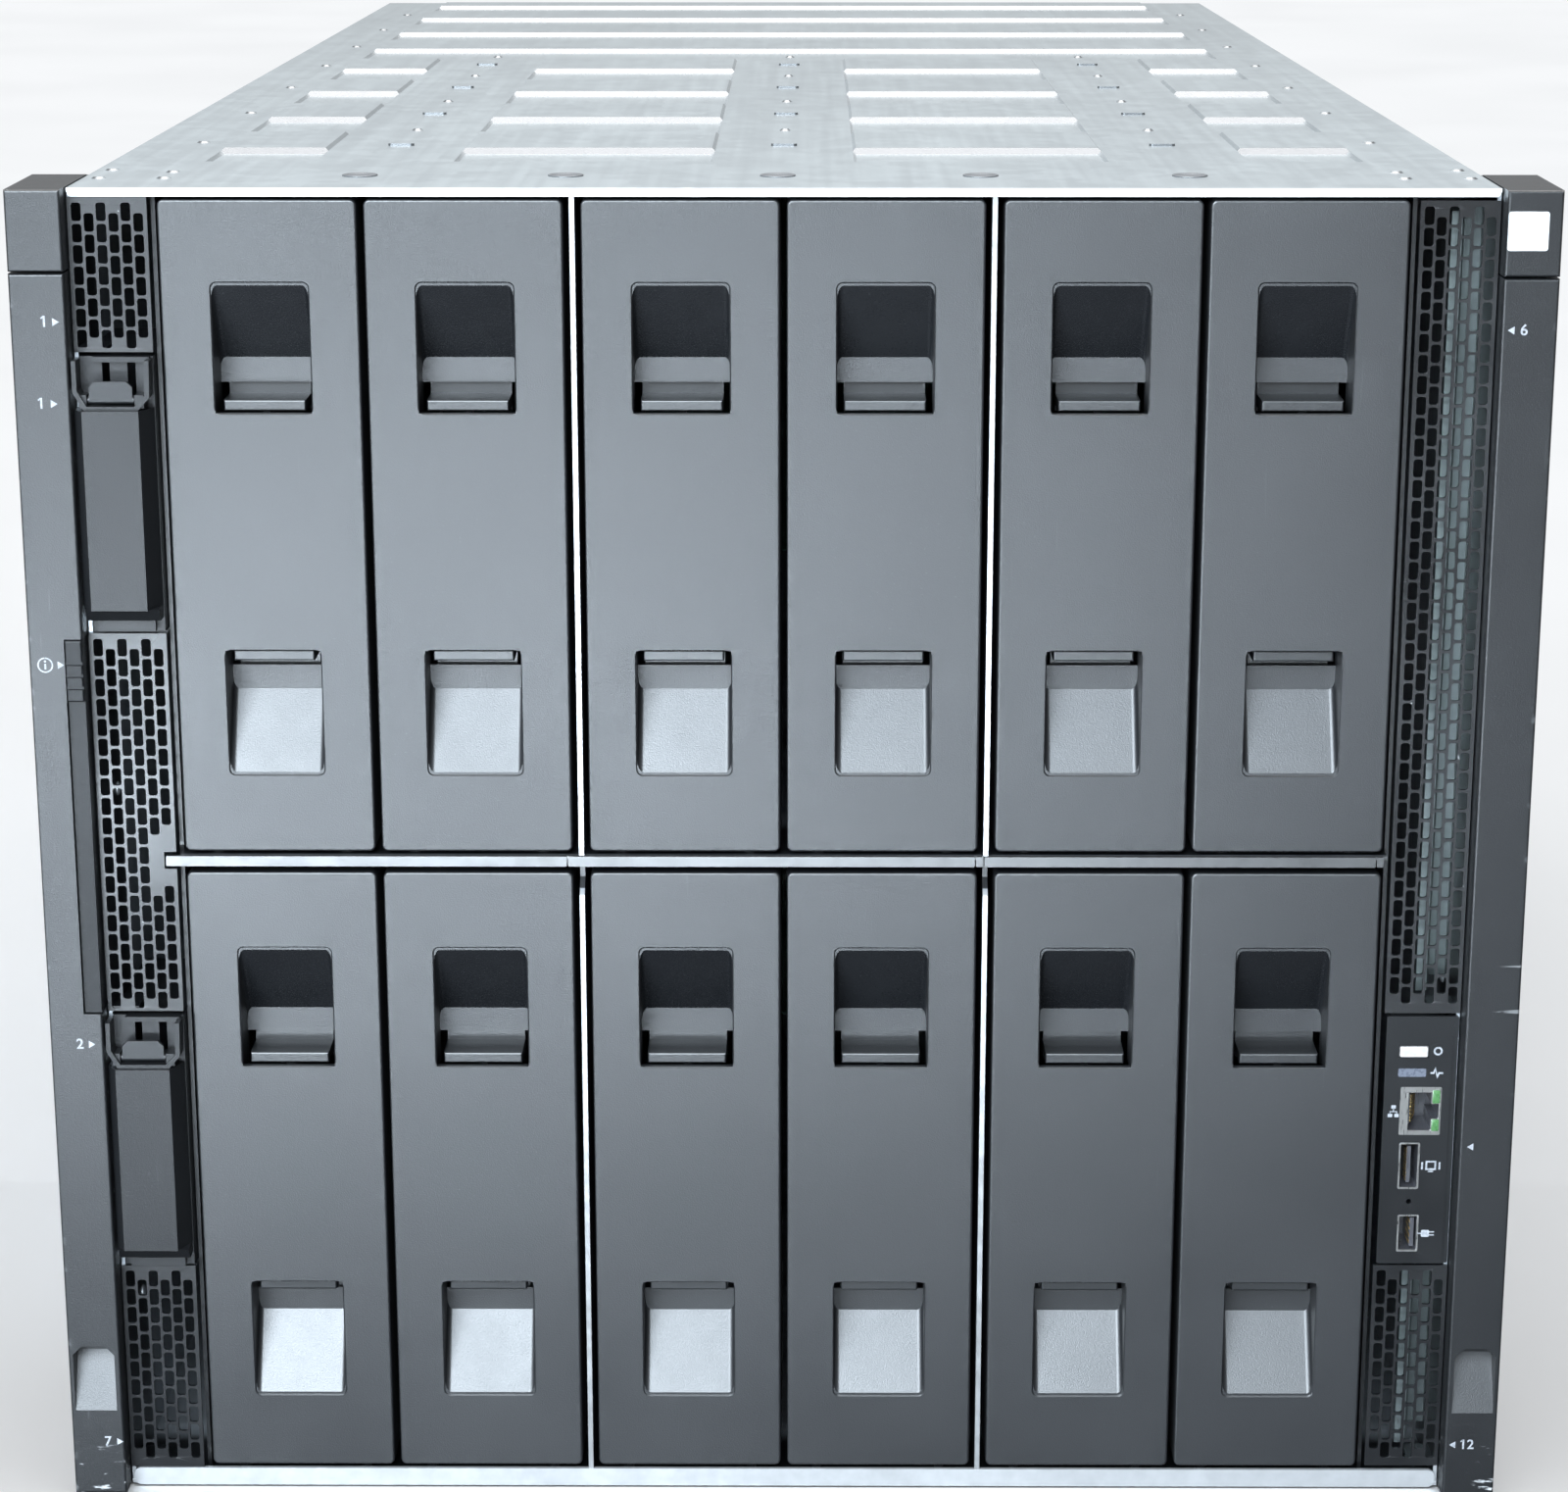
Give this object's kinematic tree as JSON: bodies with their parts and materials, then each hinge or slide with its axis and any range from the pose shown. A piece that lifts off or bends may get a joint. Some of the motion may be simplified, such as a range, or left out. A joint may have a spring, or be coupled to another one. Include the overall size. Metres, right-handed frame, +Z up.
{
  "type": "blade server chassis",
  "caption": "Ten-unit rack chassis for blade servers with bay blanks in two rows, pinch-release tabs, side grilles, rack ears, a front port panel and a ribbed steel top.",
  "frame": {"origin": "bottom centre of the bounding box, on the floor", "axes": "+X to the right seen from the front, +Y from the front towards the rear, +Z up"},
  "size_m": [0.4826, 0.9288, 0.443],
  "materials": {
    "bay_blank": "fine texture, satin",
    "release_tab": "satin",
    "galvanised": "galvanised",
    "grille": "satin",
    "ear": "fine texture, satin",
    "flange": "plated",
    "info_tab": "satin",
    "appliance": "satin",
    "latch": "satin",
    "panel": "satin",
    "port": "plated shell",
    "button": "moulded",
    "light": "moulded lens",
    "board": "board",
    "fan": "moulded",
    "supply": "plated",
    "link": "satin"
  },
  "bodies": {
    "chassis": {"chassis_shell": "galvanised", "top_cover": "galvanised", "bay_dividers": "galvanised", "bay_shelves": "galvanised", "rack_flanges": "flange", "ear_caps": "ear", "left_grilles": "grille", "right_grilles": "grille", "front_panel_plate": "panel", "front_panel_ports": "port", "health_light": "light", "midplane_board": "board", "rear_panel": "galvanised", "fan_modules": "fan", "power_supplies": "supply", "interconnect_blanks": "link"},
    "blank_01": {"blank_01": "bay_blank"},
    "upper_tab_01": {"upper_tab_01": "release_tab"},
    "lower_tab_01": {"lower_tab_01": "release_tab"},
    "blank_02": {"blank_02": "bay_blank"},
    "upper_tab_02": {"upper_tab_02": "release_tab"},
    "lower_tab_02": {"lower_tab_02": "release_tab"},
    "blank_03": {"blank_03": "bay_blank"},
    "upper_tab_03": {"upper_tab_03": "release_tab"},
    "lower_tab_03": {"lower_tab_03": "release_tab"},
    "blank_04": {"blank_04": "bay_blank"},
    "upper_tab_04": {"upper_tab_04": "release_tab"},
    "lower_tab_04": {"lower_tab_04": "release_tab"},
    "blank_05": {"blank_05": "bay_blank"},
    "upper_tab_05": {"upper_tab_05": "release_tab"},
    "lower_tab_05": {"lower_tab_05": "release_tab"},
    "blank_06": {"blank_06": "bay_blank"},
    "upper_tab_06": {"upper_tab_06": "release_tab"},
    "lower_tab_06": {"lower_tab_06": "release_tab"},
    "blank_07": {"blank_07": "bay_blank"},
    "upper_tab_07": {"upper_tab_07": "release_tab"},
    "lower_tab_07": {"lower_tab_07": "release_tab"},
    "blank_08": {"blank_08": "bay_blank"},
    "upper_tab_08": {"upper_tab_08": "release_tab"},
    "lower_tab_08": {"lower_tab_08": "release_tab"},
    "blank_09": {"blank_09": "bay_blank"},
    "upper_tab_09": {"upper_tab_09": "release_tab"},
    "lower_tab_09": {"lower_tab_09": "release_tab"},
    "blank_10": {"blank_10": "bay_blank"},
    "upper_tab_10": {"upper_tab_10": "release_tab"},
    "lower_tab_10": {"lower_tab_10": "release_tab"},
    "blank_11": {"blank_11": "bay_blank"},
    "upper_tab_11": {"upper_tab_11": "release_tab"},
    "lower_tab_11": {"lower_tab_11": "release_tab"},
    "blank_12": {"blank_12": "bay_blank"},
    "upper_tab_12": {"upper_tab_12": "release_tab"},
    "lower_tab_12": {"lower_tab_12": "release_tab"},
    "appliance_blank_1": {"appliance_blank_1": "appliance"},
    "appliance_latch_1": {"appliance_latch_1": "latch"},
    "appliance_blank_2": {"appliance_blank_2": "appliance"},
    "appliance_latch_2": {"appliance_latch_2": "latch"},
    "info_pull_tab": {"info_pull_tab": "info_tab"},
    "left_ear_bezel": {"left_ear_bezel": "ear"},
    "right_ear_bezel": {"right_ear_bezel": "ear"},
    "uid_button": {"uid_button": "button"}
  },
  "joints": [
    {"name": "appliance_blank_1_pull", "type": "slide", "parent": "chassis", "child": "appliance_blank_1", "axis": [0, -1, 0], "range_m": [0, 0.08]},
    {"name": "appliance_latch_1_press", "type": "hinge", "parent": "appliance_blank_1", "child": "appliance_latch_1", "pos_m": [-0.2116, -0.4594, 0.376], "axis": [-1, 0, 0], "range_deg": [0, 12], "stiffness_Nm_per_rad": 0.05, "springref_deg": -5.73},
    {"name": "appliance_blank_2_pull", "type": "slide", "parent": "chassis", "child": "appliance_blank_2", "axis": [0, -1, 0], "range_m": [0, 0.08]},
    {"name": "appliance_latch_2_press", "type": "hinge", "parent": "appliance_blank_2", "child": "appliance_latch_2", "pos_m": [-0.2116, -0.4594, 0.1566], "axis": [-1, 0, 0], "range_deg": [0, 12], "stiffness_Nm_per_rad": 0.05, "springref_deg": -5.73},
    {"name": "info_pull_tab_pull", "type": "slide", "parent": "chassis", "child": "info_pull_tab", "axis": [0, -1, 0], "range_m": [0, 0.08]},
    {"name": "left_ear_bezel_pull", "type": "slide", "parent": "chassis", "child": "left_ear_bezel", "axis": [0, -1, 0], "range_m": [0, 0.06]},
    {"name": "right_ear_bezel_pull", "type": "slide", "parent": "chassis", "child": "right_ear_bezel", "axis": [0, -1, 0], "range_m": [0, 0.06]},
    {"name": "uid_button_press", "type": "slide", "parent": "chassis", "child": "uid_button", "axis": [0, 1, 0], "range_m": [0, 0.001], "stiffness_N_per_m": 800, "springref_m": -0.001},
    {"name": "blank_01_pull", "type": "slide", "parent": "chassis", "child": "blank_01", "axis": [0, -1, 0], "range_m": [0, 0.08]},
    {"name": "upper_tab_01_squeeze", "type": "slide", "parent": "blank_01", "child": "upper_tab_01", "axis": [0, 0, -1], "range_m": [0, 0.004], "stiffness_N_per_m": 500, "springref_m": -0.002},
    {"name": "lower_tab_01_squeeze", "type": "slide", "parent": "blank_01", "child": "lower_tab_01", "axis": [0, 0, 1], "range_m": [0, 0.004], "stiffness_N_per_m": 500, "springref_m": -0.002},
    {"name": "blank_02_pull", "type": "slide", "parent": "chassis", "child": "blank_02", "axis": [0, -1, 0], "range_m": [0, 0.08]},
    {"name": "upper_tab_02_squeeze", "type": "slide", "parent": "blank_02", "child": "upper_tab_02", "axis": [0, 0, -1], "range_m": [0, 0.004], "stiffness_N_per_m": 500, "springref_m": -0.002},
    {"name": "lower_tab_02_squeeze", "type": "slide", "parent": "blank_02", "child": "lower_tab_02", "axis": [0, 0, 1], "range_m": [0, 0.004], "stiffness_N_per_m": 500, "springref_m": -0.002},
    {"name": "blank_03_pull", "type": "slide", "parent": "chassis", "child": "blank_03", "axis": [0, -1, 0], "range_m": [0, 0.08]},
    {"name": "upper_tab_03_squeeze", "type": "slide", "parent": "blank_03", "child": "upper_tab_03", "axis": [0, 0, -1], "range_m": [0, 0.004], "stiffness_N_per_m": 500, "springref_m": -0.002},
    {"name": "lower_tab_03_squeeze", "type": "slide", "parent": "blank_03", "child": "lower_tab_03", "axis": [0, 0, 1], "range_m": [0, 0.004], "stiffness_N_per_m": 500, "springref_m": -0.002},
    {"name": "blank_04_pull", "type": "slide", "parent": "chassis", "child": "blank_04", "axis": [0, -1, 0], "range_m": [0, 0.08]},
    {"name": "upper_tab_04_squeeze", "type": "slide", "parent": "blank_04", "child": "upper_tab_04", "axis": [0, 0, -1], "range_m": [0, 0.004], "stiffness_N_per_m": 500, "springref_m": -0.002},
    {"name": "lower_tab_04_squeeze", "type": "slide", "parent": "blank_04", "child": "lower_tab_04", "axis": [0, 0, 1], "range_m": [0, 0.004], "stiffness_N_per_m": 500, "springref_m": -0.002},
    {"name": "blank_05_pull", "type": "slide", "parent": "chassis", "child": "blank_05", "axis": [0, -1, 0], "range_m": [0, 0.08]},
    {"name": "upper_tab_05_squeeze", "type": "slide", "parent": "blank_05", "child": "upper_tab_05", "axis": [0, 0, -1], "range_m": [0, 0.004], "stiffness_N_per_m": 500, "springref_m": -0.002},
    {"name": "lower_tab_05_squeeze", "type": "slide", "parent": "blank_05", "child": "lower_tab_05", "axis": [0, 0, 1], "range_m": [0, 0.004], "stiffness_N_per_m": 500, "springref_m": -0.002},
    {"name": "blank_06_pull", "type": "slide", "parent": "chassis", "child": "blank_06", "axis": [0, -1, 0], "range_m": [0, 0.08]},
    {"name": "upper_tab_06_squeeze", "type": "slide", "parent": "blank_06", "child": "upper_tab_06", "axis": [0, 0, -1], "range_m": [0, 0.004], "stiffness_N_per_m": 500, "springref_m": -0.002},
    {"name": "lower_tab_06_squeeze", "type": "slide", "parent": "blank_06", "child": "lower_tab_06", "axis": [0, 0, 1], "range_m": [0, 0.004], "stiffness_N_per_m": 500, "springref_m": -0.002},
    {"name": "blank_07_pull", "type": "slide", "parent": "chassis", "child": "blank_07", "axis": [0, -1, 0], "range_m": [0, 0.08]},
    {"name": "upper_tab_07_squeeze", "type": "slide", "parent": "blank_07", "child": "upper_tab_07", "axis": [0, 0, -1], "range_m": [0, 0.004], "stiffness_N_per_m": 500, "springref_m": -0.002},
    {"name": "lower_tab_07_squeeze", "type": "slide", "parent": "blank_07", "child": "lower_tab_07", "axis": [0, 0, 1], "range_m": [0, 0.004], "stiffness_N_per_m": 500, "springref_m": -0.002},
    {"name": "blank_08_pull", "type": "slide", "parent": "chassis", "child": "blank_08", "axis": [0, -1, 0], "range_m": [0, 0.08]},
    {"name": "upper_tab_08_squeeze", "type": "slide", "parent": "blank_08", "child": "upper_tab_08", "axis": [0, 0, -1], "range_m": [0, 0.004], "stiffness_N_per_m": 500, "springref_m": -0.002},
    {"name": "lower_tab_08_squeeze", "type": "slide", "parent": "blank_08", "child": "lower_tab_08", "axis": [0, 0, 1], "range_m": [0, 0.004], "stiffness_N_per_m": 500, "springref_m": -0.002},
    {"name": "blank_09_pull", "type": "slide", "parent": "chassis", "child": "blank_09", "axis": [0, -1, 0], "range_m": [0, 0.08]},
    {"name": "upper_tab_09_squeeze", "type": "slide", "parent": "blank_09", "child": "upper_tab_09", "axis": [0, 0, -1], "range_m": [0, 0.004], "stiffness_N_per_m": 500, "springref_m": -0.002},
    {"name": "lower_tab_09_squeeze", "type": "slide", "parent": "blank_09", "child": "lower_tab_09", "axis": [0, 0, 1], "range_m": [0, 0.004], "stiffness_N_per_m": 500, "springref_m": -0.002},
    {"name": "blank_10_pull", "type": "slide", "parent": "chassis", "child": "blank_10", "axis": [0, -1, 0], "range_m": [0, 0.08]},
    {"name": "upper_tab_10_squeeze", "type": "slide", "parent": "blank_10", "child": "upper_tab_10", "axis": [0, 0, -1], "range_m": [0, 0.004], "stiffness_N_per_m": 500, "springref_m": -0.002},
    {"name": "lower_tab_10_squeeze", "type": "slide", "parent": "blank_10", "child": "lower_tab_10", "axis": [0, 0, 1], "range_m": [0, 0.004], "stiffness_N_per_m": 500, "springref_m": -0.002},
    {"name": "blank_11_pull", "type": "slide", "parent": "chassis", "child": "blank_11", "axis": [0, -1, 0], "range_m": [0, 0.08]},
    {"name": "upper_tab_11_squeeze", "type": "slide", "parent": "blank_11", "child": "upper_tab_11", "axis": [0, 0, -1], "range_m": [0, 0.004], "stiffness_N_per_m": 500, "springref_m": -0.002},
    {"name": "lower_tab_11_squeeze", "type": "slide", "parent": "blank_11", "child": "lower_tab_11", "axis": [0, 0, 1], "range_m": [0, 0.004], "stiffness_N_per_m": 500, "springref_m": -0.002},
    {"name": "blank_12_pull", "type": "slide", "parent": "chassis", "child": "blank_12", "axis": [0, -1, 0], "range_m": [0, 0.08]},
    {"name": "upper_tab_12_squeeze", "type": "slide", "parent": "blank_12", "child": "upper_tab_12", "axis": [0, 0, -1], "range_m": [0, 0.004], "stiffness_N_per_m": 500, "springref_m": -0.002},
    {"name": "lower_tab_12_squeeze", "type": "slide", "parent": "blank_12", "child": "lower_tab_12", "axis": [0, 0, 1], "range_m": [0, 0.004], "stiffness_N_per_m": 500, "springref_m": -0.002}
  ]
}
